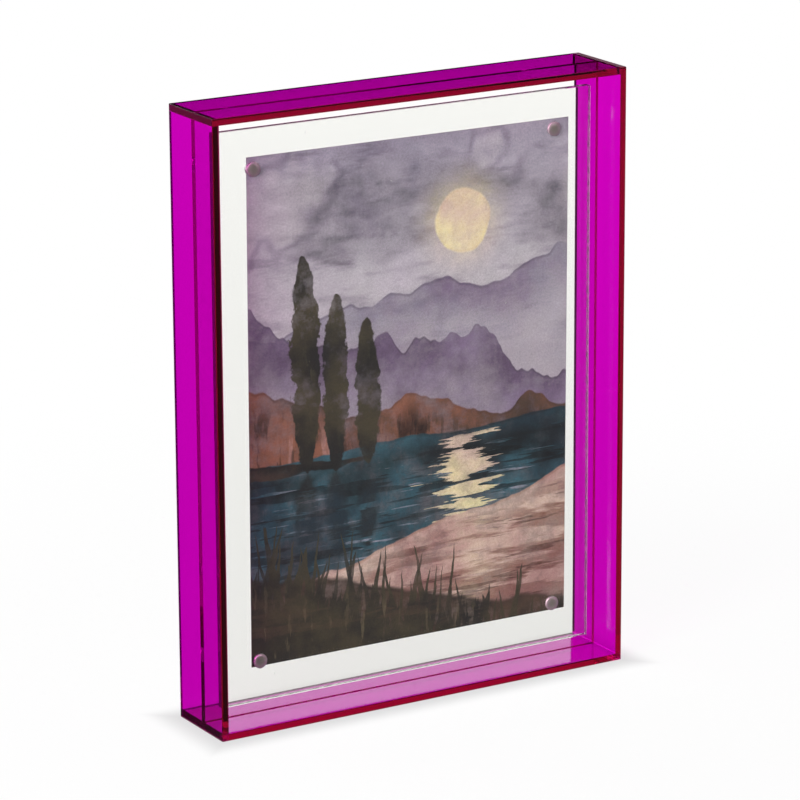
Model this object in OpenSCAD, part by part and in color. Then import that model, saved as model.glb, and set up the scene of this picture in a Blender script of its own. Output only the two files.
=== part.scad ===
// Deep acrylic photo frame for one 5 by 7 inch print.
// Four coloured walls are butted and cemented round a clear centre panel that stands at mid depth.
// A smaller clear plate is held to the panel by four pairs of thin disc magnets, with the print between them.
// The magnets are let into the inner faces of the two sheets, so the outer faces stay smooth.
// The print's size drives the rest: the plate has a border round the print, and the box a gap round the plate.
// All sizes are in millimetres. The origin is at the middle of the base, +Z is up and the front faces -Y.

/* [Print] */
// Width of the print
print_w = 127; // [80:1:200]
// Height of the print
print_h = 178; // [100:1:300]
// Thickness of the print's card
print_t = 0.25; // [0.15:0.05:0.5]
// Air between the print and the clear sheet on either side of it
print_air = 0.03; // [0.02:0.01:0.1]
// How far the print lies to the right of the middle
print_shift = 1.5; // [0:0.1:3]
// How far the print lies above the middle
print_rise = 0.8; // [0:0.1:2]
// Clockwise turn of the print in degrees, as a hand lays it in
print_turn = 0.25; // [0:0.05:1]

/* [Front plate] */
// Thickness of the clear plate that comes off
plate_t = 2.5; // [2:0.1:4]
// Border of the plate beside the print
side_border = 10; // [6:0.5:40]
// Border of the plate above and below the print
end_border = 11; // [6:0.5:40]
// Width of the polished break along the plate's edges
plate_break = 0.2; // [0.1:0.05:0.5]

/* [Magnets] */
// Diameter of the disc magnets
magnet_d = 5; // [3:0.1:8]
// Thickness of the disc magnets
magnet_t = 1; // [0.8:0.1:1.5]
// How far the middle of each magnet lies inside the side edges of a centred print
magnet_side_inset = 4.25; // [0:0.25:8]
// How far the middle of each magnet lies inside the end edges of a centred print
magnet_end_inset = 3; // [0:0.5:8]
// Radius of the rounded rim on the outer face of each magnet
magnet_rim = 0.7; // [0.2:0.05:0.75]
// Cement gap round each magnet and behind it in its hole
magnet_fit = 0.05; // [0.02:0.01:0.1]

/* [Box] */
// Open gap between the plate's edges and the walls
plate_gap = 5; // [4.5:0.1:8]
// Thickness of the coloured walls
wall_t = 2.5; // [2:0.1:4]
// Depth of the box from its front rim to its back rim
frame_d = 30; // [20:1:80]
// Width of the polished break along the outer edges of the box
wall_break = 0.2; // [0.1:0.05:0.5]
// Thickness of the clear panel that is cemented between the walls
panel_t = 2.5; // [2:0.1:4]
// Thickness of the cement in the joints of the box
cement_t = 0.02; // [0.01:0.01:0.1]

/* [Hidden] */

// Sides of the picture as seen from the front: left and right along X, bottom and top along Z
LEFT = -1;
RIGHT = 1;
BOTTOM = -1;
TOP = 1;
// Sides that the frame has along Y
FRONT = -1;
BACK = 1;

// How far a cutting solid runs past the faces that it cuts
overrun = 1;

// From the print outwards: the plate, the opening between the walls, the panel in it and the box
plate_w = print_w + 2 * side_border;
plate_h = print_h + 2 * end_border;
opening_w = plate_w + 2 * plate_gap;
opening_h = plate_h + 2 * plate_gap;
panel_w = opening_w - 2 * cement_t;
panel_h = opening_h - 2 * cement_t;
frame_w = opening_w + 2 * wall_t;
frame_h = opening_h + 2 * wall_t;

// Front faces of the panel and the print, and both faces of the plate before them
panel_y = -panel_t / 2;
print_y = panel_y - print_air - print_t;
plate_back_y = print_y - print_air;
plate_y = plate_back_y - plate_t;

middle_z = frame_h / 2;
magnet_x = print_w / 2 - magnet_side_inset;
magnet_z = print_h / 2 - magnet_end_inset;
magnet_hole_d = magnet_d + 2 * magnet_fit;
magnet_hole_t = magnet_t + magnet_fit;

WALL_COLOUR = [0.79, 0.01, 0.73, 0.75];
CLEAR_COLOUR = [0.93, 0.95, 0.94, 0.3];
MAGNET_COLOUR = [0.78, 0.78, 0.76];
PRINT_COLOUR = [0.62, 0.57, 0.62];

$fn = 64;

// Rectangle of the given size about the middle, with each corner cut off at 45 degrees
module broken_rectangle(size, cut) {
    x = size[0] / 2;
    y = size[1] / 2;
    polygon([
        [-x + cut, -y], [x - cut, -y], [x, -y + cut], [x, y - cut],
        [x - cut, y], [-x + cut, y], [-x, y - cut], [-x, -y + cut]
    ]);
}

// Block about the middle whose twelve edges are all broken
module broken_block(size, cut) {
    intersection() {
        translate([0, 0, -size[2] / 2])
            linear_extrude(size[2])
                broken_rectangle([size[0], size[1]], cut);
        translate([0, size[1] / 2, 0])
            rotate([90, 0, 0])
                linear_extrude(size[1])
                    broken_rectangle([size[0], size[2]], cut);
        translate([-size[0] / 2, 0, 0])
            rotate([90, 0, 90])
                linear_extrude(size[0])
                    broken_rectangle([size[1], size[2]], cut);
    }
}

// One straight strip of the box wall between two corners of the front view, over the whole depth.
// The box's outline trims it, so the polished break runs on unbroken past every corner joint.
module wall_strip(low, high) {
    color(WALL_COLOUR)
        intersection() {
            translate([0, 0, middle_z])
                broken_block([frame_w, frame_d, frame_h], wall_break);
            translate([low[0], -frame_d / 2, low[1]])
                cube([high[0] - low[0], frame_d, high[1] - low[1]]);
        }
}

// The corner joints run round the box like a pinwheel: each wall covers the end of one neighbour
// and butts against the other, with the cement between them.
module left_wall() {
    wall_strip([-frame_w / 2, 0], [-frame_w / 2 + wall_t, frame_h - wall_t - cement_t]);
}

module top_wall() {
    wall_strip([-frame_w / 2, frame_h - wall_t], [frame_w / 2 - wall_t - cement_t, frame_h]);
}

module right_wall() {
    wall_strip([frame_w / 2 - wall_t, wall_t + cement_t], [frame_w / 2, frame_h]);
}

module bottom_wall() {
    wall_strip([-frame_w / 2 + wall_t + cement_t, 0], [frame_w / 2, wall_t]);
}

// Places its child on a magnet's axis at an inner face, with the child's +Z into the sheet
module at_magnet(side, level, inner_y, into) {
    translate([side * magnet_x, inner_y, middle_z + level * magnet_z])
        rotate([-90 * into, 0, 0])
            children();
}

// The four blind holes for the magnets, sunk into a sheet from its inner face
module magnet_holes(inner_y, into) {
    for (side = [LEFT, RIGHT], level = [BOTTOM, TOP])
        at_magnet(side, level, inner_y, into)
            translate([0, 0, -overrun])
                cylinder(h = overrun + magnet_hole_t, d = magnet_hole_d);
}

// The panel fills the box from wall to wall, so its edges are square for the cement
module centre_panel() {
    color(CLEAR_COLOUR)
        difference() {
            translate([-panel_w / 2, panel_y, middle_z - panel_h / 2])
                cube([panel_w, panel_t, panel_h]);
            magnet_holes(panel_y, BACK);
        }
}

module front_plate() {
    color(CLEAR_COLOUR)
        difference() {
            translate([0, plate_y + plate_t / 2, middle_z])
                broken_block([plate_w, plate_t, plate_h], plate_break);
            magnet_holes(plate_back_y, FRONT);
        }
}

module art_print() {
    color(PRINT_COLOUR)
        translate([print_shift, print_y, middle_z + print_rise])
            rotate([0, print_turn, 0])
                translate([-print_w / 2, 0, -print_h / 2])
                    cube([print_w, print_t, print_h]);
}

// Disc magnet along +Z, flat on the inner face and rounded along the rim of the outer face
module disc_magnet() {
    radius = magnet_d / 2;
    color(MAGNET_COLOUR)
        rotate_extrude()
            intersection() {
                square([radius, magnet_t]);
                union() {
                    square([radius - magnet_rim, magnet_t]);
                    square([radius, magnet_t - magnet_rim]);
                    translate([radius - magnet_rim, magnet_t - magnet_rim])
                        circle(magnet_rim);
                }
            }
}

// The inner face of a front magnet is flush with the plate's back
module front_magnet(side, level) {
    at_magnet(side, level, plate_back_y, FRONT)
        disc_magnet();
}

// The inner face of a rear magnet is flush with the panel's front
module rear_magnet(side, level) {
    at_magnet(side, level, panel_y, BACK)
        disc_magnet();
}

left_wall();
top_wall();
right_wall();
bottom_wall();
centre_panel();
art_print();
front_plate();
front_magnet(LEFT, TOP);  // front_magnet_top_left
front_magnet(RIGHT, TOP);  // front_magnet_top_right
front_magnet(LEFT, BOTTOM);  // front_magnet_bottom_left
front_magnet(RIGHT, BOTTOM);  // front_magnet_bottom_right
rear_magnet(LEFT, TOP);  // rear_magnet_top_left
rear_magnet(RIGHT, TOP);  // rear_magnet_top_right
rear_magnet(LEFT, BOTTOM);  // rear_magnet_bottom_left
rear_magnet(RIGHT, BOTTOM);  // rear_magnet_bottom_right
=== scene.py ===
"""Looks of the acrylic photo frame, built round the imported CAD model.

Every length is in metres and every place is in the CAD frame: the origin is at the middle of the base, +Z is
up and the front faces -Y. The scale of a noise is in features to the metre, or on the print to its height.
"""

import math

import bpy
from mathutils import Matrix, Vector


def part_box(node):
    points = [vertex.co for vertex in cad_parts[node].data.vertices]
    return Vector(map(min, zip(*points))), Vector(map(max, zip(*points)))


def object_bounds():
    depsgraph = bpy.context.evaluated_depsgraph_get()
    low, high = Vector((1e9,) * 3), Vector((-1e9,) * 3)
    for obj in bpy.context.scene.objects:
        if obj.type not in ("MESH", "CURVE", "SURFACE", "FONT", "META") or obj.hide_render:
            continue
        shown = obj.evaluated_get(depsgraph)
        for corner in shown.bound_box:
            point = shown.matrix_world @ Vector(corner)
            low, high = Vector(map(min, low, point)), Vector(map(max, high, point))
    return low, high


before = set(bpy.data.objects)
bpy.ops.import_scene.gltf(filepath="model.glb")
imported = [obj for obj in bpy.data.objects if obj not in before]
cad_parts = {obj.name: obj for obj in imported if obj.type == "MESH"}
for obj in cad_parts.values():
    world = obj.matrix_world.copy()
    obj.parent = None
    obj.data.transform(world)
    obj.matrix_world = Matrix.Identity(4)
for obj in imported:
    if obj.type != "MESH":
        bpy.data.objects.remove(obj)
cad_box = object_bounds()

WALLS = ("left_wall", "top_wall", "right_wall", "bottom_wall")
MAGNETS = [
    f"{sheet}_magnet_{level}_{side}"
    for sheet in ("front", "rear") for level in ("top", "bottom") for side in ("left", "right")
]
MAGNET_RADIUS = (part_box(MAGNETS[0])[1].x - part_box(MAGNETS[0])[0].x) / 2

WHITE = (1, 1, 1, 1)
# Nearly all values of a noise lie between these two
NOISE_SPAN = (0.3, 0.7)

# Camera at the photograph's viewing angle, with its lens and sensor in millimetres
CAMERA_AT = Vector((-0.736, -1.2261, 0.5078))
CAMERA_AIM = Vector((-0.00137, 0, 0.10481))
CAMERA_ROLL = math.radians(-0.287)
CAMERA_LENS = 194.5
CAMERA_SENSOR = 36
CAMERA_CLIP = (0.05, 50)

# Acrylic: how much it bends light, how much red, green and blue it absorbs per metre of path, and the tint
# of its surface
ACRYLIC_IOR = 1.49
MAGENTA_ABSORBS = (33, 2000, 113)
MAGENTA_TINT = (0.73, 0.3, 0.755, 1)
CLEAR_ABSORBS = (1.2, 1.2, 2.2)
CLEAR_TINT = (0.995, 0.995, 0.98, 1)
# Share of a lamp's light that one face of the dyed walls and of the clear sheets passes, before its tint
WALL_PASSES = 0.62
SHEET_PASSES = 0.96
# The slow waves of a cast face
WAVE_SCALE = 38
WAVE_HEIGHT = 0.000004
# Dust: the scale of its cells, the share of them that hold none, the largest speck and its soft edge as
# shares of a cell, how much a speck covers, and its colour
DUST_SCALE = 150
DUST_FREE = 0.86
DUST_SIZE = 0.045
DUST_SOFT = 0.015
DUST_COVER = 0.5
DUST_COLOUR = (0.8, 0.8, 0.78, 1)

# The cement bends light a little less than acrylic does, so a joint turns back light that grazes it.
# These say how many times more the dyed walls and the clear panel bend it.
WALL_CEMENT_STEP = 1.035
PANEL_CEMENT_STEP = 1.005
# The cement round the panel passes all light that crosses it squarely, and this share 60 degrees off that
CEMENT_PASSES = 0.77
# Share of the light that the cement in a joint scatters, and the colour that it takes from the walls
CEMENT_HAZE = 0.03
CEMENT_COLOUR = (0.75, 0.04, 0.55, 1)
# Least cosine that counts between the light and the square direction, so that no film turns quite black
LEAST_COSINE = 0.05

# Uncovered ends of the walls: roughness, share of light that they scatter, and its colour after the dyed
# acrylic just below the surface
END_ROUGHNESS = 0.3
END_HAZE = 0.12
END_COLOUR = (0.5, 0.004, 0.13, 1)
# Depth of the layer in which those ends are told from the walls' faces
END_SKIN = 0.00005

# Magnet holes: roughness after the drill, the radius that takes them in, in radii of the magnet, and the
# least that is left of a sheet between a hole and the outer face
DRILLED_ROUGHNESS = 0.5
HOLE_REACH = 1.03
OUTER_SKIN = 0.0004

# Sawn edges of the plate: roughness, how many times more they bend light than what lies against them, the
# least and the most of the light from inside that they pass, and the share that they scatter and its colour
SAWN_ROUGHNESS = 0.16
SAWN_STEP = 1.03
SAWN_PASSES = (0.45, 0.78)
SAWN_HAZE = 0.055
SAWN_COLOUR = (0.9, 0.9, 0.9, 1)
# The cutter's marks: coarse and fine scale, how much the fine ones count, how slowly both change across the
# sheet's thickness, and their height
SAW_MARK_COARSE = 420
SAW_MARK_FINE = 2600
SAW_MARK_FINE_SHARE = 0.3
SAW_MARK_STRETCH = 0.04
SAW_MARK_HEIGHT = 0.00006
# Span of the marks over which an edge goes from the least to the most light that it passes
SAW_MARK_SPAN = (0.5, 0.8)
# Cosine between Y and a surface's normal, above which it is a face of a sheet and not an edge or its break
FACE_COSINE = 0.9

# Floor: a square just below the frame
FLOOR_SIZE = 6.0
FLOOR_DROP = 0.0002
FLOOR_COLOUR = (0.95, 0.95, 0.95, 1)
# Share of plain white in it near the frame, which keeps the shadow pale, and the distances from the origin
# over which that share rises to 1
FLOOR_GLOW = 0.92
SHADOW_REACH = (0.12, 0.40)
# Painted shade under the frame: the level of that white there, and the distances from the frame's foot over
# which it rises to 1
UNDER_SHADE_LEVEL = 0.74
CONTACT_REACH = (0.0, 0.012)
# Level of that white through the acrylic, at the origin and what it gains in a metre: painted shade, darker
# towards the frame
THROUGH_LEVEL = 0.97
THROUGH_GAIN = 0.125
# To reflections the floor turns from front to back between these depths, and this is the front's level
FLOOR_TURN = (-0.05, 0.05)
FRONT_LEVEL = 0.08
# The dark strip on the back floor: its level, where its middle lies across at depth 0 and what that gains
# with depth, the same two for half its width, and its soft edge
STRIP_LEVEL = 0.09
STRIP_ACROSS = -0.085
STRIP_SLANT = 0.62
STRIP_HALF_WIDTH = 0.03
STRIP_SPREAD = 0.08
STRIP_SOFT = 0.03

# Reflections see a band of light above the horizon. These are the sines of the elevation over which it
# starts and over which it ends, its level and the level above it.
DOME_EDGE = (0.25, 0.28)
DOME_TOP = (0.40, 0.50)
DOME_LEVEL = 1.2
ZENITH_LEVEL = 0.1
# A second reflection finds the left of that band dark. It turns bright over this span of the direction's X.
DOME_SIDE = (-0.1, 0.1)
# Level that matt things take from the world
SKY_ON_MATT = 0.3
# Light that has been mirrored this many times has come from all round, and is even
MANY_TIMES = 10
EVEN_LEVEL = 0.6

# Lamps: name, place, size and power in watts
LAMPS = (
    ("key", (-1.55, -0.78, 1.0), 0.85, 32),
    ("top", (0.2, 0.1, 1.6), 1.2, 2.5),
    ("fill", (0.7, -1.25, 0.5), 0.6, 1.5),
    ("back", (-0.7, 1.4, 0.8), 1.2, 9),
)
LAMP_TARGET = Vector((0, 0, 0.1))

# How often light may turn inside the acrylic, between matt things and through what is clear
INNER_BOUNCES = 128
MATT_BOUNCES = 3
CLEAR_BOUNCES = 64


# Node helpers

def put(socket, value):
    """Links value to the socket if it is a socket, or else sets it as the socket's plain value."""
    if isinstance(value, bpy.types.NodeSocket):
        socket.id_data.links.new(value, socket)
    else:
        socket.default_value = value


def add(tree, kind, inputs=None, **settings):
    """A new node with its settings and its inputs, by name or number."""
    node = tree.nodes.new(kind)
    for name, value in settings.items():
        setattr(node, name, value)
    for key, value in (inputs or {}).items():
        put(node.inputs[key], value)
    return node


def calc(tree, operation, *values):
    return add(tree, "ShaderNodeMath", dict(enumerate(values)), operation=operation).outputs[0]


def vector_calc(tree, operation, *values):
    node = add(tree, "ShaderNodeVectorMath", dict(enumerate(values)), operation=operation)
    return node.outputs["Value" if operation in ("LENGTH", "DOT_PRODUCT") else "Vector"]


def split(tree, vector):
    """The X, Y and Z of a vector."""
    return add(tree, "ShaderNodeSeparateXYZ", {0: vector}).outputs


def rise(tree, value, low, high, bottom=0.0, top=1.0):
    """Goes smoothly from bottom to top as value goes from low to high."""
    inputs = {"Value": value, "From Min": low, "From Max": high, "To Min": bottom, "To Max": top}
    return add(tree, "ShaderNodeMapRange", inputs, interpolation_type="SMOOTHSTEP").outputs["Result"]


def at_least(tree, count, times):
    """1 where a whole number is at least times, and 0 elsewhere."""
    return calc(tree, "GREATER_THAN", count, times - 0.5)


def noise(tree, place, scale, detail, roughness=0.5, output="Fac"):
    inputs = {"Vector": place, "Scale": scale, "Detail": detail, "Roughness": roughness}
    return add(tree, "ShaderNodeTexNoise", inputs).outputs[output]


def grey(tree, value):
    return add(tree, "ShaderNodeCombineColor", {0: value, 1: value, 2: value}).outputs[0]


def mix_values(tree, factor, first, second):
    return add(tree, "ShaderNodeMix", {0: factor, 2: first, 3: second}).outputs[0]


def mix_colours(tree, factor, first, second, blend="MIX"):
    inputs = {0: factor, 6: first, 7: second}
    return add(tree, "ShaderNodeMix", inputs, data_type="RGBA", blend_type=blend).outputs[2]


def mix_shaders(tree, factor, first, second):
    node = add(tree, "ShaderNodeMixShader", {0: factor})
    tree.links.new(first.outputs[0], node.inputs[1])
    tree.links.new(second.outputs[0], node.inputs[2])
    return node


def diffuse(tree, colour):
    return add(tree, "ShaderNodeBsdfDiffuse", {"Color": colour})


def transparent(tree, colour):
    return add(tree, "ShaderNodeBsdfTransparent", {"Color": colour})


def glow(tree, level):
    return add(tree, "ShaderNodeEmission", {"Color": WHITE, "Strength": level})


def bumped(tree, height):
    """The surface's normal after a relief of this height."""
    return add(tree, "ShaderNodeBump", {"Strength": 1.0, "Distance": 1.0, "Height": height}).outputs[0]


def object_place(tree):
    """Place of a point in the CAD frame at rest, which stays with its piece when that moves."""
    return tree.nodes.new("ShaderNodeTexCoord").outputs["Object"]


def true_normal(tree):
    return tree.nodes.new("ShaderNodeNewGeometry").outputs["True Normal"]


def from_inside(tree):
    """1 where light meets the surface from inside, and 0 where it meets it from outside."""
    return tree.nodes.new("ShaderNodeNewGeometry").outputs["Backfacing"]


def new_material(name):
    material = bpy.data.materials.new(name)
    material.use_nodes = True
    tree = material.node_tree
    tree.nodes.clear()
    return material, tree, tree.nodes.new("ShaderNodeOutputMaterial")


def dress(node_names, material):
    """Gives CAD nodes one material and leaves their meshes alone."""
    for name in node_names:
        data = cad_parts[name].data
        data.materials.clear()
        data.materials.append(material)


# Places on the acrylic

def as_slab(low, high, skin=0.0):
    """A box given by two corners, as its middle and half its size, with a skin added on every side."""
    low, high = Vector(low), Vector(high)
    return (low + high) / 2, (high - low) / 2 + Vector((skin, skin, skin))


def joint_slabs():
    """Thin boxes that hold the cemented joints and nothing else of the frame's surface."""
    low = Vector((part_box("left_wall")[1].x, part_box("centre_panel")[0].y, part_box("bottom_wall")[1].z))
    high = Vector((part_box("right_wall")[0].x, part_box("centre_panel")[1].y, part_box("top_wall")[0].z))
    reach = 2 * (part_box("centre_panel")[0].x - low.x)
    left, front, bottom = (value - reach for value in cad_box[0])
    right, back, top = (value + reach for value in cad_box[1])
    slabs = []
    # The panel's four edges
    for x in (low.x, high.x):
        slabs.append(as_slab((x - reach, low.y, low.z - reach), (x + reach, high.y, high.z + reach)))
    for z in (low.z, high.z):
        slabs.append(as_slab((low.x - reach, low.y, z - reach), (high.x + reach, high.y, z + reach)))
    # The four corners of the box, each with its cement on one side
    slabs.append(as_slab((left, front, high.z - reach), (low.x + reach, back, high.z + reach)))
    slabs.append(as_slab((high.x - reach, front, high.z - reach), (high.x + reach, back, top)))
    slabs.append(as_slab((high.x - reach, front, low.z - reach), (right, back, low.z + reach)))
    slabs.append(as_slab((low.x - reach, front, bottom), (low.x + reach, back, low.z + reach)))
    return slabs


def end_slabs():
    """Thin boxes that hold the one end of each wall that no neighbour covers."""
    left, front, bottom = cad_box[0]
    right, back, top = cad_box[1]
    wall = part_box("left_wall")[1].x - left
    return [
        as_slab((left, front, top - wall), (left, back, top), END_SKIN),
        as_slab((right - wall, front, top), (right, back, top), END_SKIN),
        as_slab((right, front, bottom), (right, back, bottom + wall), END_SKIN),
        as_slab((left, front, bottom), (left + wall, back, bottom), END_SKIN),
    ]


def slab_mask(tree, place, slabs):
    """1 inside any of the boxes, each given by its middle and half its size, and 0 elsewhere."""
    mask = None
    for middle, half in slabs:
        away = vector_calc(tree, "ABSOLUTE", vector_calc(tree, "SUBTRACT", place, middle))
        outside = split(tree, vector_calc(tree, "SUBTRACT", away, half))
        furthest = calc(tree, "MAXIMUM", calc(tree, "MAXIMUM", outside[0], outside[1]), outside[2])
        inside = calc(tree, "LESS_THAN", furthest, 0.0)
        mask = inside if mask is None else calc(tree, "MAXIMUM", mask, inside)
    return mask


def magnet_axis_distance(tree, place):
    """Distance from the axis of the nearest magnet. They lie alike in the four quarters of the frame."""
    low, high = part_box("front_magnet_top_right")
    middle = (low + high) / 2
    centre_z = (cad_box[0].z + cad_box[1].z) / 2
    folded = vector_calc(tree, "ABSOLUTE", vector_calc(tree, "SUBTRACT", place, (0, 0, centre_z)))
    off_axis = vector_calc(tree, "SUBTRACT", folded, (middle.x, 0, middle.z - centre_z))
    return vector_calc(tree, "LENGTH", vector_calc(tree, "MULTIPLY", off_axis, (1, 0, 1)))


def magnet_hole_mask(tree, place, outer_y):
    """1 on the sides and ends of the blind holes for the magnets. The sheet's face at outer_y has none."""
    close = calc(tree, "LESS_THAN", magnet_axis_distance(tree, place), HOLE_REACH * MAGNET_RADIUS)
    depth = calc(tree, "ABSOLUTE", calc(tree, "SUBTRACT", split(tree, place)["Y"], outer_y))
    return calc(tree, "MULTIPLY", close, calc(tree, "GREATER_THAN", depth, OUTER_SKIN))


def sawn_edge_mask(tree):
    """1 on a sheet's narrow edges, 0 on its faces."""
    cosine = calc(tree, "ABSOLUTE", split(tree, true_normal(tree))["Y"])
    return calc(tree, "LESS_THAN", cosine, FACE_COSINE)


# Acrylic

def steep(tree, step):
    """0 for light that grazes the surface from inside and is mirrored there, 1 for steep or outer light.

    step is how many times more the acrylic bends light than what lies against it.
    """
    fresnel = tree.nodes.new("ShaderNodeFresnel")
    fresnel.inputs["IOR"].default_value = step
    turned_back = calc(tree, "MULTIPLY", fresnel.outputs[0], from_inside(tree))
    return calc(tree, "SUBTRACT", 1.0, turned_back)


def film_passes(tree, at_60_degrees):
    """Share of light that a thin film passes: all that crosses it squarely, and less the more it slants."""
    aslant = add(tree, "ShaderNodeLayerWeight", {"Blend": 0.5}).outputs["Facing"]
    cosine = calc(tree, "MAXIMUM", calc(tree, "SUBTRACT", 1.0, aslant), LEAST_COSINE)
    longer = calc(tree, "SUBTRACT", calc(tree, "DIVIDE", 1.0, cosine), 1.0)
    return calc(tree, "POWER", at_60_degrees, longer)


def cast_waves(tree, place):
    """Height of the slow waves that casting leaves in a face."""
    return calc(tree, "MULTIPLY", noise(tree, place, WAVE_SCALE, detail=1), WAVE_HEIGHT)


def saw_marks(tree, place):
    """The cross marks that a cutter leaves, a few millimetres apart along an edge."""
    across = vector_calc(tree, "MULTIPLY", place, (1, SAW_MARK_STRETCH, 1))
    coarse = noise(tree, across, SAW_MARK_COARSE, detail=2)
    fine = noise(tree, across, SAW_MARK_FINE, detail=1)
    return calc(tree, "MULTIPLY_ADD", fine, SAW_MARK_FINE_SHARE, coarse)


def dust(tree, place):
    """A few tiny specks that settle on polished acrylic."""
    inputs = {"Vector": place, "Scale": DUST_SCALE, "Randomness": 1.0}
    cells = add(tree, "ShaderNodeTexVoronoi", inputs).outputs
    pick = add(tree, "ShaderNodeSeparateColor", {0: cells["Color"]}).outputs[0]
    size = rise(tree, pick, DUST_FREE, 1.0, 0.0, DUST_SIZE)
    beyond = calc(tree, "SUBTRACT", cells["Distance"], size)
    speck = rise(tree, beyond, -DUST_SOFT, 0.0, DUST_COVER, 0.0)
    return calc(tree, "MULTIPLY", speck, calc(tree, "GREATER_THAN", pick, DUST_FREE))


def polished(tree, place, tint, rough, height):
    """The surface of clear or dyed acrylic with a little dust on it."""
    glass = add(tree, "ShaderNodeBsdfPrincipled", {
        "Base Color": tint, "Roughness": rough, "IOR": ACRYLIC_IOR, "Transmission Weight": 1.0,
        "Normal": bumped(tree, height),
    })
    return mix_shaders(tree, dust(tree, place), glass, diffuse(tree, DUST_COLOUR))


def hazy_where_cut(tree, surface, edge, marks):
    """A sawn edge, which passes and scatters light from inside. Only light that grazes it is mirrored."""
    through = transparent(tree, grey(tree, rise(tree, marks, *SAW_MARK_SPAN, *SAWN_PASSES)))
    cut = mix_shaders(tree, SAWN_HAZE, through, diffuse(tree, SAWN_COLOUR))
    inner_edge = calc(tree, "MULTIPLY", edge, from_inside(tree))
    return mix_shaders(tree, calc(tree, "MULTIPLY", inner_edge, steep(tree, SAWN_STEP)), surface, cut)


def lit_through(tree, surface, face_passes, tint):
    """Lets the lamps reach through the acrylic, dimmed at each face."""
    passed = tuple(face_passes * math.sqrt(part) for part in tint[:3]) + (1,)
    is_shadow = tree.nodes.new("ShaderNodeLightPath").outputs["Is Shadow Ray"]
    return mix_shaders(tree, is_shadow, surface, transparent(tree, passed))


def cemented(tree, place, surface, step, clear_colour):
    """Lets light pass straight on at the cemented joints, but for what grazes them."""
    cement = mix_shaders(tree, CEMENT_HAZE, transparent(tree, clear_colour), diffuse(tree, CEMENT_COLOUR))
    passing = calc(tree, "MULTIPLY", slab_mask(tree, place, joint_slabs()), steep(tree, step))
    return mix_shaders(tree, passing, surface, cement)


def make_solid(tree, output, surface, absorbs):
    """Ends an acrylic with its surface and with what the solid inside absorbs."""
    density = max(absorbs)
    colour = tuple(1 - part / density for part in absorbs) + (1,)
    volume = add(tree, "ShaderNodeVolumeAbsorption", {"Color": colour, "Density": density})
    tree.links.new(surface.outputs[0], output.inputs["Surface"])
    tree.links.new(volume.outputs[0], output.inputs["Volume"])


def dyed_walls():
    """Walls of magenta acrylic with matt uncovered ends, cemented to each other and round the panel."""
    material, tree, output = new_material("magenta_acrylic")
    place = object_place(tree)
    end = slab_mask(tree, place, end_slabs())
    rough = calc(tree, "MULTIPLY", end, END_ROUGHNESS)
    surface = polished(tree, place, MAGENTA_TINT, rough, cast_waves(tree, place))
    surface = mix_shaders(tree, calc(tree, "MULTIPLY", end, END_HAZE), surface, diffuse(tree, END_COLOUR))
    surface = lit_through(tree, surface, WALL_PASSES, MAGENTA_TINT)
    surface = cemented(tree, place, surface, WALL_CEMENT_STEP, WHITE)
    make_solid(tree, output, surface, MAGENTA_ABSORBS)
    return material


def clear_panel():
    """Centre panel of clear acrylic with drilled holes in its front, cemented all round."""
    material, tree, output = new_material("clear_acrylic_panel")
    place = object_place(tree)
    drilled = magnet_hole_mask(tree, place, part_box("centre_panel")[1].y)
    rough = calc(tree, "MULTIPLY", drilled, DRILLED_ROUGHNESS)
    surface = polished(tree, place, CLEAR_TINT, rough, cast_waves(tree, place))
    surface = lit_through(tree, surface, SHEET_PASSES, CLEAR_TINT)
    film_colour = grey(tree, film_passes(tree, CEMENT_PASSES))
    surface = cemented(tree, place, surface, PANEL_CEMENT_STEP, film_colour)
    make_solid(tree, output, surface, CLEAR_ABSORBS)
    return material


def clear_plate():
    """Front plate of clear acrylic with drilled holes in its back, and with sawn edges."""
    material, tree, output = new_material("clear_acrylic_plate")
    place = object_place(tree)
    drilled = magnet_hole_mask(tree, place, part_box("front_plate")[0].y)
    edge = sawn_edge_mask(tree)
    marks = saw_marks(tree, place)
    edge_rough = calc(tree, "MULTIPLY", edge, SAWN_ROUGHNESS)
    rough = calc(tree, "MAXIMUM", calc(tree, "MULTIPLY", drilled, DRILLED_ROUGHNESS), edge_rough)
    mark_height = calc(tree, "MULTIPLY", marks, SAW_MARK_HEIGHT)
    height = calc(tree, "MULTIPLY_ADD", edge, mark_height, cast_waves(tree, place))
    surface = polished(tree, place, CLEAR_TINT, rough, height)
    surface = hazy_where_cut(tree, surface, edge, marks)
    surface = lit_through(tree, surface, SHEET_PASSES, CLEAR_TINT)
    make_solid(tree, output, surface, CLEAR_ABSORBS)
    return material


# Print

def srgb(red, green, blue):
    """A colour given by its screen values from 0 to 255."""
    parts = [value / 255 for value in (red, green, blue)]
    return tuple(p / 12.92 if p <= 0.04045 else ((p + 0.055) / 1.055) ** 2.4 for p in parts) + (1,)


SKY_WARM = srgb(194, 186, 190)
SKY_GREY = srgb(146, 141, 158)
SKY_BLUSH = srgb(180, 168, 184)
MAUVE = srgb(128, 108, 138)
PLUM = srgb(92, 72, 100)
CREAM = srgb(232, 218, 168)
SIENNA = srgb(142, 88, 68)
UMBER = srgb(78, 55, 45)
OLIVE = srgb(66, 57, 40)
MOSS = srgb(124, 112, 82)
SLATE = srgb(50, 52, 64)
TEAL = srgb(52, 94, 110)
DEEP_TEAL = srgb(22, 42, 56)
SAND = srgb(206, 178, 166)
ROSE = srgb(172, 130, 128)
SOOT = srgb(27, 24, 25)

# Card: its white back, its trimmed edges, and the range of its roughness
CARD_WHITES = (srgb(240, 239, 236), srgb(246, 245, 243))
CARD_EDGE = srgb(116, 106, 110)
CARD_ROUGHNESS = (0.52, 0.62)
# A face looks in a direction where the cosine between its normal and that direction is above this
SAME_WAY = 0.5

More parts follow.
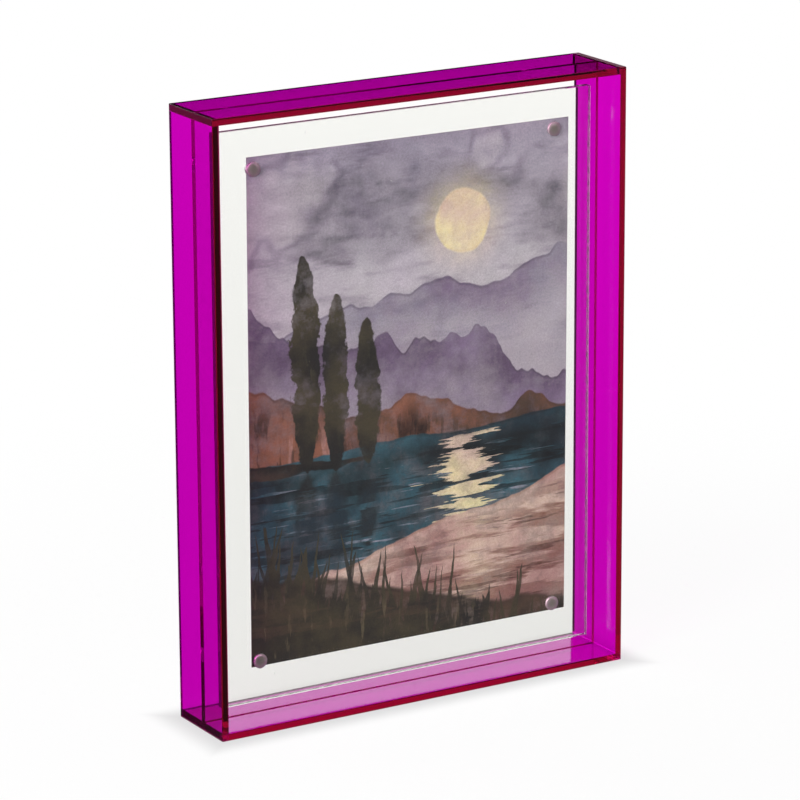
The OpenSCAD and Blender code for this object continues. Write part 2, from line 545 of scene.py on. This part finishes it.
# How far a brush's edge wanders, in print heights, and the width of a wash's wet rim
WANDER = 0.035
RIM_WIDTH = 0.006
# How much more or less pigment than its mean a wash leaves, over large and over small spots
CLOUDY_SWING = 0.17
MOTTLED_SWING = 0.15
# Noise over which the rim of a wash goes from its faintest to full, and how strong it is at the faintest
EDGED_SPAN = (0.38, 0.6)
EDGED_LEAST = 0.15
# Noise above which water ran back into the sky, and the share of the paint that it washed out there
BLOOM_GAP = 0.55
BLOOM_CLEARS = 0.35
# Leaves along a slim tree: the least share of its width, and what the noise adds
LEAVES_LEAST = 0.35
LEAVES_SWING = 1.3
# Span of the pooled noise over which a wash goes from its one pigment to the other
POOLED_SPAN = (0.36, 0.64)
# Strength of the pigment's grain and mottle over the finished painting, and of the paper's tooth
GRAIN_STRENGTH = 0.35
MOTTLE_STRENGTH = 0.3
TOOTH_STRENGTH = 0.1

# Layout of the picture, in print heights from the left edge and the foot
DISC_AT = (0.475, 0.82)
DISC_RADIUS = 0.066
HALO_RADIUS = 0.13
# The sky turns from warm to grey over these heights. Clouds and streaks stay above theirs.
SKY_SPAN = (0.5, 1.05)
CLOUDS_FOOT = 0.6
STREAKS_FOOT = 0.5
# Strips along a crest and along the shore that later washes leave free
CREST_STRIP = 0.012
SHORE_STRIP = 0.02
# How fast the dashes of light thin out beside the disc
GLITTER_FALL = 2.6
# Right end of the spit on the far shore
SPIT_END = 0.34
# Slim trees on the far shore: place of the trunk, top and half width
POPLARS = ((0.125, 0.79, 0.034), (0.192, 0.715, 0.03), (0.262, 0.66, 0.028))
# Rows of reeds: how many to a print height, shift of their noise and lean
REEDS = ((44, 3.9, 0.25), (58, 1.3, -0.2), (76, 6.2, 0.1))
REED_TOP = 0.28


class Painting:
    """A watercolour on the front of the print.

    s runs from the print's left edge and t from its foot, in print heights.
    """

    def __init__(self, tree):
        low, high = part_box("art_print")
        height = high.z - low.z
        self.tree = tree
        self.paint = SKY_WARM
        from_corner = vector_calc(tree, "SUBTRACT", object_place(tree), low)
        parts = split(tree, vector_calc(tree, "MULTIPLY", from_corner, (1 / height, 0, 1 / height)))
        self.sheet = add(tree, "ShaderNodeCombineXYZ", {0: parts[0], 1: parts[2]}).outputs[0]
        # The brush's edge wanders a little, so every outline does
        wobble = self.noise(scale=7, detail=5, output="Color")
        wander = vector_calc(tree, "SUBTRACT", wobble, (0.5, 0.5, 0.5))
        wander = vector_calc(tree, "MULTIPLY", wander, (WANDER, WANDER, WANDER))
        self.s, self.t, _ = split(tree, vector_calc(tree, "ADD", self.sheet, wander))
        self.grain = self.noise(scale=230, detail=3, roughness=0.65)
        self.pooled = self.noise(scale=6, detail=6, shift=4.7, roughness=0.62)
        self.mottle = self.noise(scale=34, detail=6, shift=2.3, roughness=0.7)
        self.leafy = self.noise(scale=46, detail=4, stretch=(1, 0.6), shift=6.6, roughness=0.65)
        clouds = self.noise(scale=11, detail=5, shift=1.9, roughness=0.6)
        cloudy = rise(tree, clouds, *NOISE_SPAN, -CLOUDY_SWING, CLOUDY_SWING)
        mottled = rise(tree, self.mottle, *NOISE_SPAN, -MOTTLED_SWING, MOTTLED_SWING)
        self.blotches = self.calc("ADD", cloudy, mottled)
        # Where a wash dried with a dark edge
        dried = self.noise(scale=9, detail=2, shift=7.9)
        self.edged = rise(tree, dried, *EDGED_SPAN, bottom=EDGED_LEAST)

    def calc(self, operation, *values):
        return calc(self.tree, operation, *values)

    def mix(self, factor, first, second, blend="MIX"):
        return mix_colours(self.tree, factor, first, second, blend)

    def noise(self, scale, detail, stretch=(1, 1), turn=0, shift=0.0, roughness=0.5, output="Fac"):
        """Noise over the sheet, pulled out along one direction when stretch says so."""
        place = add(self.tree, "ShaderNodeMapping", {
            "Vector": self.sheet, "Location": (shift, shift, 0), "Rotation": (0, 0, turn),
            "Scale": (*stretch, 1),
        }).outputs[0]
        return noise(self.tree, place, scale, detail, roughness, output)

    def strokes(self, scale, stretch, turn, shift, gap):
        """Positive along the strokes of a brush that is drawn in one direction."""
        streaks = self.noise(scale, detail=4, stretch=stretch, turn=turn, shift=shift, roughness=0.6)
        return self.calc("SUBTRACT", streaks, gap)

    def line(self, height, swing, scale, shift, slope=0.0, lean=0.0, detail=4):
        """Height of a hilly skyline above the foot, for each s. lean slants what stands up from it."""
        along = self.calc("MULTIPLY_ADD", self.t, -lean, self.calc("ADD", self.s, shift))
        inputs = {"W": along, "Scale": scale, "Detail": detail, "Roughness": 0.5}
        bumps = add(self.tree, "ShaderNodeTexNoise", inputs, noise_dimensions="1D").outputs["Fac"]
        rolling = self.calc("MULTIPLY_ADD", self.calc("SUBTRACT", bumps, 0.5), swing, height)
        return self.calc("MULTIPLY_ADD", self.s, slope, rolling)

    def below(self, line):
        return self.calc("SUBTRACT", line, self.t)

    def above(self, line):
        return self.calc("SUBTRACT", self.t, line)

    def within(self, *fields):
        """Positive where every field is positive."""
        result = fields[0]
        for field in fields[1:]:
            result = self.calc("MINIMUM", result, field)
        return result

    def disc(self, s, t, radius):
        place = add(self.tree, "ShaderNodeCombineXYZ", {0: self.s, 1: self.t}).outputs[0]
        offset = vector_calc(self.tree, "SUBTRACT", place, (s, t, 0))
        return self.calc("SUBTRACT", radius, vector_calc(self.tree, "LENGTH", offset))

    def spindle(self, s, foot, top, width):
        """A slim upright shape, pointed at both ends, with a leafy edge."""
        up = self.calc("DIVIDE", self.calc("SUBTRACT", self.t, (foot + top) / 2), (top - foot) / 2)
        bulge = self.calc("MAXIMUM", self.calc("SUBTRACT", 1.0, self.calc("MULTIPLY", up, up)), 0.0)
        ragged = self.calc("MULTIPLY_ADD", self.leafy, LEAVES_SWING, LEAVES_LEAST)
        reach = self.calc("MULTIPLY", self.calc("MULTIPLY", self.calc("SQRT", bulge), ragged), width)
        return self.calc("SUBTRACT", reach, self.calc("ABSOLUTE", self.calc("SUBTRACT", self.s, s)))

    def wash(self, field, pigment, second, depth=0.9, soft=0.004, rim=0.45, cover=0.0, fade=None, thin=0.5):
        """Lays a wash where the field is positive: two pigments that run into each other, and a dark rim.

        depth is its mean load of pigment, soft the width of its edge and rim the strength of its rim. cover
        is how much of the paint below it hides, as body colour does. Over the distance fade the load falls
        to the share thin.
        """
        tree = self.tree
        inside = rise(tree, field, 0.0, soft)
        mixed = self.mix(rise(tree, self.pooled, *POOLED_SPAN), pigment, second)
        load = self.calc("ADD", self.blotches, depth)
        if fade is not None:
            load = self.calc("MULTIPLY", load, rise(tree, field, 0.0, fade, 1.0, thin))
        load = self.calc("MULTIPLY", self.calc("MINIMUM", load, 1.0), inside)
        glazed = self.mix(load, self.paint, mixed, "MULTIPLY")
        covered = self.mix(load, self.paint, mixed)
        self.paint = self.mix(cover, glazed, covered)
        if rim > 0:
            wet = self.calc("MULTIPLY", inside, rise(tree, field, soft, soft + RIM_WIDTH, rim, 0.0))
            self.paint = self.mix(self.calc("MULTIPLY", wet, self.edged), self.paint, pigment, "MULTIPLY")

    def bloom(self, field, spread, dark):
        """Where water ran back into a wet wash: paler inside, with pigment carried to a broken edge."""
        tree = self.tree
        inside = rise(tree, field, 0.0, 2 * spread)
        outer, inner = rise(tree, field, -spread, 0.0), rise(tree, field, 0.0, spread, dark, 0.0)
        rim = self.calc("MULTIPLY", self.calc("MULTIPLY", outer, inner), self.edged)
        self.paint = self.mix(self.calc("MULTIPLY", inside, BLOOM_CLEARS), self.paint, SKY_WARM)
        self.paint = self.mix(rim, self.paint, MAUVE, "MULTIPLY")


def paint_sky(art):
    """Grey at the top and warm at the horizon, with wet clouds, blooms and a pale disc in its halo."""
    tree = art.tree
    art.paint = art.mix(rise(tree, art.t, *SKY_SPAN), SKY_WARM, SKY_GREY)
    art.paint = art.mix(rise(tree, art.pooled, *NOISE_SPAN, top=0.6), art.paint, SKY_BLUSH)
    clouds = art.strokes(scale=2.4, stretch=(1, 2.4), turn=0.3, shift=3.1, gap=0.47)
    art.wash(art.within(clouds, art.above(CLOUDS_FOOT)), MAUVE, SLATE, depth=0.42, soft=0.16, rim=0.0)
    streaks = art.strokes(scale=8, stretch=(0.8, 3.4), turn=0.35, shift=5.9, gap=0.5)
    art.wash(art.within(streaks, art.above(STREAKS_FOOT)), MAUVE, SKY_GREY, depth=0.3, soft=0.14, rim=0.0)
    pools = art.noise(scale=3.1, detail=4, shift=6.4)
    art.bloom(art.calc("SUBTRACT", pools, BLOOM_GAP), spread=0.03, dark=0.35)
    art.wash(art.disc(*DISC_AT, HALO_RADIUS), SAND, CREAM, depth=0.5, soft=0.12, rim=0.0, cover=1.0)
    art.wash(art.disc(*DISC_AT, DISC_RADIUS), CREAM, SAND, depth=0.92, soft=0.006, rim=0.3, cover=1.0)


def paint_hills(art):
    """Three ranges, each dark along its crest and thinner below it."""
    far = art.line(height=0.67, swing=0.17, scale=3.2, shift=1.7, slope=0.06)
    art.wash(art.below(far), MAUVE, SKY_GREY, depth=0.8, cover=0.7, fade=0.16)
    middle = art.line(height=0.66, swing=0.3, scale=4.2, shift=7.3, slope=-0.16)
    art.wash(art.below(middle), PLUM, MAUVE, depth=0.9, cover=0.85, fade=0.22)
    near = art.line(height=0.54, swing=0.17, scale=3.6, shift=4.4, slope=-0.16)
    art.wash(art.below(near), SIENNA, UMBER, depth=0.92, cover=0.92, fade=0.3, thin=0.85)
    slope = art.below(art.calc("SUBTRACT", near, CREST_STRIP))
    folds = art.strokes(scale=5, stretch=(2.4, 0.7), turn=0.5, shift=5.2, gap=0.52)
    art.wash(art.within(slope, folds), UMBER, PLUM, depth=0.7, soft=0.06, rim=0.2)
    lights = art.strokes(scale=7, stretch=(2.6, 0.6), turn=0.5, shift=8.1, gap=0.58)
    art.wash(art.within(slope, lights), ROSE, SIENNA, depth=0.5, soft=0.05, rim=0.0, cover=1.0)
    creases = art.strokes(scale=17, stretch=(3.0, 0.5), turn=0.5, shift=2.9, gap=0.55)
    art.wash(art.within(slope, creases), UMBER, SOOT, depth=0.5, soft=0.05, rim=0.0)


def paint_lake(art):
    """Teal water with the hills' reflection, ripples and the disc's glitter."""
    shore = art.line(height=0.4, swing=0.04, scale=3.0, shift=9.6, slope=0.02)
    water = art.below(shore)
    art.wash(water, TEAL, DEEP_TEAL, depth=0.94, cover=0.94, fade=0.2, thin=0.92)
    mirrored_hills = art.above(art.line(height=0.31, swing=0.16, scale=9, shift=2.7))
    art.wash(art.within(water, mirrored_hills), UMBER, SLATE, depth=0.6, soft=0.05, rim=0.0)
    open_water = art.calc("SUBTRACT", water, SHORE_STRIP)
    ripples = art.strokes(scale=4, stretch=(1, 12), turn=0.0, shift=2.4, gap=0.52)
    art.wash(art.within(open_water, ripples), DEEP_TEAL, SLATE, depth=0.65, soft=0.04, rim=0.1)
    glints = art.strokes(scale=6, stretch=(1, 14), turn=0.0, shift=5.5, gap=0.6)
    art.wash(art.within(open_water, glints), SKY_BLUSH, TEAL, depth=0.5, soft=0.04, rim=0.0, cover=1.0)
    # Dashes of light, dense below the disc and rare beside it
    off_middle = art.calc("ABSOLUTE", art.calc("SUBTRACT", art.s, DISC_AT[0]))
    sparks = art.strokes(scale=6.5, stretch=(1, 11), turn=0.0, shift=8.8, gap=0.4)
    dashes = art.calc("MULTIPLY_ADD", off_middle, -GLITTER_FALL, sparks)
    art.wash(art.within(water, dashes), CREAM, SAND, depth=0.85, soft=0.02, rim=0.0, cover=1.0)


def paint_poplars(art):
    """Slim trees on a dark spit of the far shore, paler on the right, and their broken reflections."""
    spit_top = art.below(art.line(height=0.404, swing=0.02, scale=9, shift=2.2, slope=-0.06))
    spit_foot = art.above(art.line(height=0.366, swing=0.016, scale=12, shift=5.1, slope=0.05))
    spit = art.within(spit_top, spit_foot, art.calc("SUBTRACT", SPIT_END, art.s))
    art.wash(spit, SOOT, UMBER, depth=0.95, cover=0.96)
    for s, top, width in POPLARS:
        poplar = art.spindle(s, foot=0.37, top=top, width=width)
        art.wash(poplar, SOOT, OLIVE, depth=1.0, soft=0.004, rim=0.0, cover=0.97)
        right_side = art.spindle(s + 0.3 * width, foot=0.4, top=top - 0.02, width=0.5 * width)
        leaves = art.strokes(scale=26, stretch=(1.6, 0.5), turn=-0.2, shift=s, gap=0.5)
        art.wash(art.within(right_side, leaves), MOSS, UMBER, depth=0.6, soft=0.05, rim=0.0, cover=1.0)
        reflection = art.spindle(s, foot=0.18, top=0.375, width=1.1 * width)
        breaks = art.strokes(scale=5, stretch=(1, 9), turn=0.0, shift=3.3, gap=0.44)
        art.wash(art.within(reflection, breaks), SOOT, DEEP_TEAL, depth=0.85, soft=0.02, rim=0.0, cover=0.9)


def paint_banks(art):
    """A sandy bank that rises to the right, and dark ground with reeds before it on the left."""
    bank = art.below(art.line(height=0.12, swing=0.09, scale=2.6, shift=2.2, slope=0.24))
    art.wash(bank, SAND, ROSE, depth=0.94, cover=0.95, rim=0.6)
    drifts = art.strokes(scale=5, stretch=(0.7, 5), turn=-0.45, shift=1.4, gap=0.47)
    art.wash(art.within(bank, drifts), SIENNA, ROSE, depth=0.6, soft=0.08, rim=0.2)
    ruts = art.strokes(scale=9, stretch=(0.6, 6), turn=-0.4, shift=7.7, gap=0.56)
    art.wash(art.within(bank, ruts), UMBER, SIENNA, depth=0.6, soft=0.05, rim=0.1)
    ground = art.below(art.line(height=0.185, swing=0.08, scale=3.4, shift=6.1, slope=-0.22))
    art.wash(ground, SOOT, UMBER, depth=0.95, soft=0.012, cover=0.96)
    for scale, shift, lean in REEDS:
        tips = art.line(height=0.17, swing=0.46, scale=scale, shift=shift, slope=-0.34, lean=lean, detail=1)
        reeds = art.within(art.below(tips), art.below(REED_TOP))
        art.wash(reeds, SOOT, OLIVE, depth=0.9, soft=0.006, rim=0.0, cover=0.93)
    turf = art.strokes(scale=6, stretch=(0.8, 4), turn=0.3, shift=9.3, gap=0.52)
    art.wash(art.within(ground, turf), UMBER, OLIVE, depth=0.6, soft=0.08, rim=0.0, cover=1.0)
    blades = art.strokes(scale=28, stretch=(2.2, 0.4), turn=0.2, shift=4.6, gap=0.58)
    art.wash(art.within(ground, blades), MOSS, UMBER, depth=0.4, soft=0.06, rim=0.0, cover=1.0)


def watercolour(tree):
    """An upright lake landscape in washes, with the paper's tooth and the pigment's grain over it all."""
    art = Painting(tree)
    paint_sky(art)
    paint_hills(art)
    paint_lake(art)
    paint_poplars(art)
    paint_banks(art)
    tooth = art.noise(scale=420, detail=2)
    for pattern, strength in (
        (art.grain, GRAIN_STRENGTH), (art.mottle, MOTTLE_STRENGTH), (tooth, TOOTH_STRENGTH),
    ):
        art.paint = art.mix(strength, art.paint, grey(tree, pattern), "OVERLAY")
    return art


def looks_along(tree, direction):
    """1 on the faces that look in this direction, and 0 elsewhere."""
    cosine = vector_calc(tree, "DOT_PRODUCT", true_normal(tree), direction)
    return calc(tree, "GREATER_THAN", cosine, SAME_WAY)


def printed_card():
    """Photo card: the picture on the front, white on the back, and grey with ink on its trimmed edges."""
    material, tree, output = new_material("printed_card")
    art = watercolour(tree)
    white = art.mix(art.grain, *CARD_WHITES)
    unprinted = art.mix(looks_along(tree, (0, 1, 0)), CARD_EDGE, white)
    colour = art.mix(looks_along(tree, (0, -1, 0)), unprinted, art.paint)
    rough = rise(tree, art.noise(scale=300, detail=2), *NOISE_SPAN, *CARD_ROUGHNESS)
    paper = add(tree, "ShaderNodeBsdfPrincipled", {"Base Color": colour, "Roughness": rough})
    tree.links.new(paper.outputs[0], output.inputs["Surface"])
    return material


# Magnets

NICKEL = (0.31, 0.30, 0.26, 1)
NICKEL_STAIN = (0.26, 0.245, 0.19, 1)
# The rounded rim is painted with a lilac cast, painted light from the tinted walls, from this to this share
# of the radius
NICKEL_RIM_PAINTED_CAST = (0.66, 0.47, 0.56, 1)
PAINTED_CAST_SHARES = (0.58, 0.68)
# Scales of the stains, the grains and the scratches, and how long and at what turn the scratches are drawn
STAIN_SCALE = 700
GRAIN_SCALE = 2600
SCRATCH_SCALE = 9000
SCRATCH_STRETCH = 0.04
SCRATCH_TURN = 0.7
NICKEL_RELIEF = 0.00002
# Noise over which the nickel goes from clean to stained
STAIN_SPAN = (0.35, 0.65)
# Roughness of clean nickel, and what stains and grains add to it
NICKEL_ROUGHNESS = 0.42
STAIN_ROUGHNESS = 0.14
GRAIN_ROUGHNESS = 0.16


def nickel():
    """Nickel plate, dulled by handling: satin, with fine scratches, a faint yellow stain and painted lilac
    light from the tinted walls round its rim.
    """
    material, tree, output = new_material("nickel_plate")
    place = object_place(tree)
    stained = noise(tree, place, STAIN_SCALE, detail=4)
    grains = noise(tree, place, GRAIN_SCALE, detail=4)
    drawn = add(tree, "ShaderNodeMapping", {
        "Vector": place, "Rotation": (0, SCRATCH_TURN, 0), "Scale": (1, 1, SCRATCH_STRETCH),
    }).outputs[0]
    scratches = noise(tree, drawn, SCRATCH_SCALE, detail=2)
    colour = mix_colours(tree, rise(tree, stained, *STAIN_SPAN), NICKEL, NICKEL_STAIN)
    # Painted light: the rim takes a lilac cast from the tinted walls
    off_axis = calc(tree, "DIVIDE", magnet_axis_distance(tree, place), MAGNET_RADIUS)
    colour = mix_colours(tree, rise(tree, off_axis, *PAINTED_CAST_SHARES), colour, NICKEL_RIM_PAINTED_CAST)
    rough = calc(tree, "MULTIPLY_ADD", stained, STAIN_ROUGHNESS, NICKEL_ROUGHNESS)
    rough = calc(tree, "MULTIPLY_ADD", grains, GRAIN_ROUGHNESS, rough)
    relief = calc(tree, "MULTIPLY", calc(tree, "ADD", grains, scratches), NICKEL_RELIEF)
    metal = add(tree, "ShaderNodeBsdfPrincipled", {
        "Base Color": colour, "Metallic": 1.0, "Roughness": rough, "Normal": bumped(tree, relief),
    })
    tree.links.new(metal.outputs[0], output.inputs["Surface"])
    return material


# Studio

def mirrored(tree, path, times):
    """1 on a ray that was mirrored at least this many times since it left the camera, and 0 on others."""
    return at_least(tree, path["Glossy Depth"], times)


def mirrored_just(tree, path, times):
    """1 on a ray that was mirrored this many times and no more, and 0 on others."""
    return calc(tree, "SUBTRACT", mirrored(tree, path, times), mirrored(tree, path, times + 1))


def studio_world():
    """White to the camera and through acrylic, even light on matt things, a bright band in reflections."""
    world = bpy.data.worlds.new("studio")
    bpy.context.scene.world = world
    world.use_nodes = True
    world.cycles.sampling_method = "NONE"
    tree = world.node_tree
    tree.nodes.clear()
    path = tree.nodes.new("ShaderNodeLightPath").outputs
    across, _, height = split(tree, tree.nodes.new("ShaderNodeTexCoord").outputs["Generated"])
    upper = rise(tree, height, *DOME_TOP, DOME_LEVEL, ZENITH_LEVEL)
    band = calc(tree, "MULTIPLY", rise(tree, height, *DOME_EDGE), upper)
    right_band = calc(tree, "MULTIPLY", band, rise(tree, across, *DOME_SIDE))
    level = mix_values(tree, mirrored_just(tree, path, 2), band, right_band)
    level = mix_values(tree, mirrored(tree, path, MANY_TIMES), level, EVEN_LEVEL)
    level = mix_values(tree, mirrored(tree, path, 1), 1.0, level)
    level = mix_values(tree, at_least(tree, path["Diffuse Depth"], 1), level, SKY_ON_MATT)
    shader = add(tree, "ShaderNodeBackground", {"Color": WHITE, "Strength": level})
    output = tree.nodes.new("ShaderNodeOutputWorld")
    tree.links.new(shader.outputs[0], output.inputs["Surface"])


def floor_seen(tree, path, place):
    """The floor to the camera, also through acrylic: white, and near the frame matt enough for its shadow.

    Under the frame its white is dimmed, and through acrylic it is darker towards the frame: painted shade.
    To matt things it is matt all over.
    """
    distance = vector_calc(tree, "LENGTH", place)
    footprint = (cad_box[1].x, cad_box[1].y, 0)
    beside = split(tree, vector_calc(tree, "SUBTRACT", vector_calc(tree, "ABSOLUTE", place), footprint))
    # Painted shade: the white is dimmed under the frame's foot
    painted_contact_shade = rise(tree, calc(tree, "MAXIMUM", beside[0], beside[1]), *CONTACT_REACH, UNDER_SHADE_LEVEL, 1.0)
    # Painted shade: through acrylic the white is darker towards the frame
    shaded_through_level = calc(tree, "MULTIPLY_ADD", distance, THROUGH_GAIN, THROUGH_LEVEL)
    level = mix_values(tree, at_least(tree, path["Transmission Depth"], 1), 1.0, shaded_through_level)
    white = glow(tree, calc(tree, "MULTIPLY", level, painted_contact_shade))
    share = rise(tree, distance, *SHADOW_REACH, FLOOR_GLOW, 1.0)
    to_camera = calc(tree, "SUBTRACT", 1.0, at_least(tree, path["Diffuse Depth"], 1))
    return mix_shaders(tree, calc(tree, "MULTIPLY", share, to_camera), diffuse(tree, FLOOR_COLOUR), white)


def floor_mirrored(tree, path, place):
    """The floor to reflections: nearly black to the first, then black in front and white behind.

    The fourth finds a dark strip in the white too, which darkens what the left wall's front rim carries
    through its depth.
    """
    across, depth, _ = split(tree, place)
    strip_middle = calc(tree, "MULTIPLY_ADD", depth, STRIP_SLANT, STRIP_ACROSS)
    half_width = calc(tree, "MULTIPLY_ADD", depth, STRIP_SPREAD, STRIP_HALF_WIDTH)
    off_middle = calc(tree, "ABSOLUTE", calc(tree, "SUBTRACT", across, strip_middle))
    strip = rise(tree, calc(tree, "SUBTRACT", off_middle, half_width), 0.0, STRIP_SOFT, 1.0, 0.0)
    strip = calc(tree, "MULTIPLY", strip, mirrored_just(tree, path, 4))
    once = rise(tree, depth, *FLOOR_TURN, FRONT_LEVEL, 0.0)
    twice = mix_values(tree, rise(tree, depth, *FLOOR_TURN), 0.0, mix_values(tree, strip, 1.0, STRIP_LEVEL))
    level = mix_values(tree, mirrored(tree, path, 2), once, twice)
    return glow(tree, mix_values(tree, mirrored(tree, path, MANY_TIMES), level, EVEN_LEVEL))


def studio_floor():
    """Plain white floor that keeps the frame's shadow, with painted shade under and near the frame, and is
    dark in some reflections.
    """
    material, tree, output = new_material("studio_floor")
    path = tree.nodes.new("ShaderNodeLightPath").outputs
    place = tree.nodes.new("ShaderNodeNewGeometry").outputs["Position"]
    seen = floor_seen(tree, path, place)
    surface = mix_shaders(tree, mirrored(tree, path, 1), seen, floor_mirrored(tree, path, place))
    tree.links.new(surface.outputs[0], output.inputs["Surface"])
    material.cycles.emission_sampling = "NONE"
    return material


def stage():
    mesh = bpy.data.meshes.new("floor")
    half = FLOOR_SIZE / 2
    corners = [(x, y, -FLOOR_DROP) for x, y in ((-half, -half), (half, -half), (half, half), (-half, half))]
    mesh.from_pydata(corners, [], [(0, 1, 2, 3)])
    floor = bpy.data.objects.new("floor", mesh)
    bpy.context.scene.collection.objects.link(floor)
    mesh.materials.append(studio_floor())


def lamp(name, at, size, power):
    """A soft square lamp that looks at the middle of the frame and shows in no sharp reflection."""
    data = bpy.data.lights.new(name, "AREA")
    data.shape = "SQUARE"
    data.size = size
    data.energy = power
    data.cycles.use_multiple_importance_sampling = False
    light = bpy.data.objects.new(name, data)
    bpy.context.scene.collection.objects.link(light)
    light.location = at
    light.rotation_euler = (LAMP_TARGET - Vector(at)).to_track_quat("-Z", "Y").to_euler()
    light.visible_transmission = False
    light.visible_camera = False


def camera():
    data = bpy.data.cameras.new("camera")
    data.lens = CAMERA_LENS
    data.sensor_width = CAMERA_SENSOR
    data.clip_start, data.clip_end = CAMERA_CLIP
    item = bpy.data.objects.new("camera", data)
    bpy.context.scene.collection.objects.link(item)
    look = (CAMERA_AIM - CAMERA_AT).to_track_quat("-Z", "Y").to_matrix().to_4x4()
    item.matrix_world = Matrix.Translation(CAMERA_AT) @ look @ Matrix.Rotation(CAMERA_ROLL, 4, "Z")
    bpy.context.scene.camera = item


camera()
studio_world()
stage()
for name, at, size, power in LAMPS:
    lamp(name, at, size, power)

dress(WALLS, dyed_walls())
dress(["centre_panel"], clear_panel())
dress(["front_plate"], clear_plate())
dress(["art_print"], printed_card())
dress(MAGNETS, nickel())

scene = bpy.context.scene
scene.view_settings.view_transform = "Standard"
scene.cycles.max_bounces = INNER_BOUNCES
scene.cycles.transmission_bounces = INNER_BOUNCES
scene.cycles.glossy_bounces = INNER_BOUNCES
scene.cycles.diffuse_bounces = MATT_BOUNCES
scene.cycles.transparent_max_bounces = CLEAR_BOUNCES
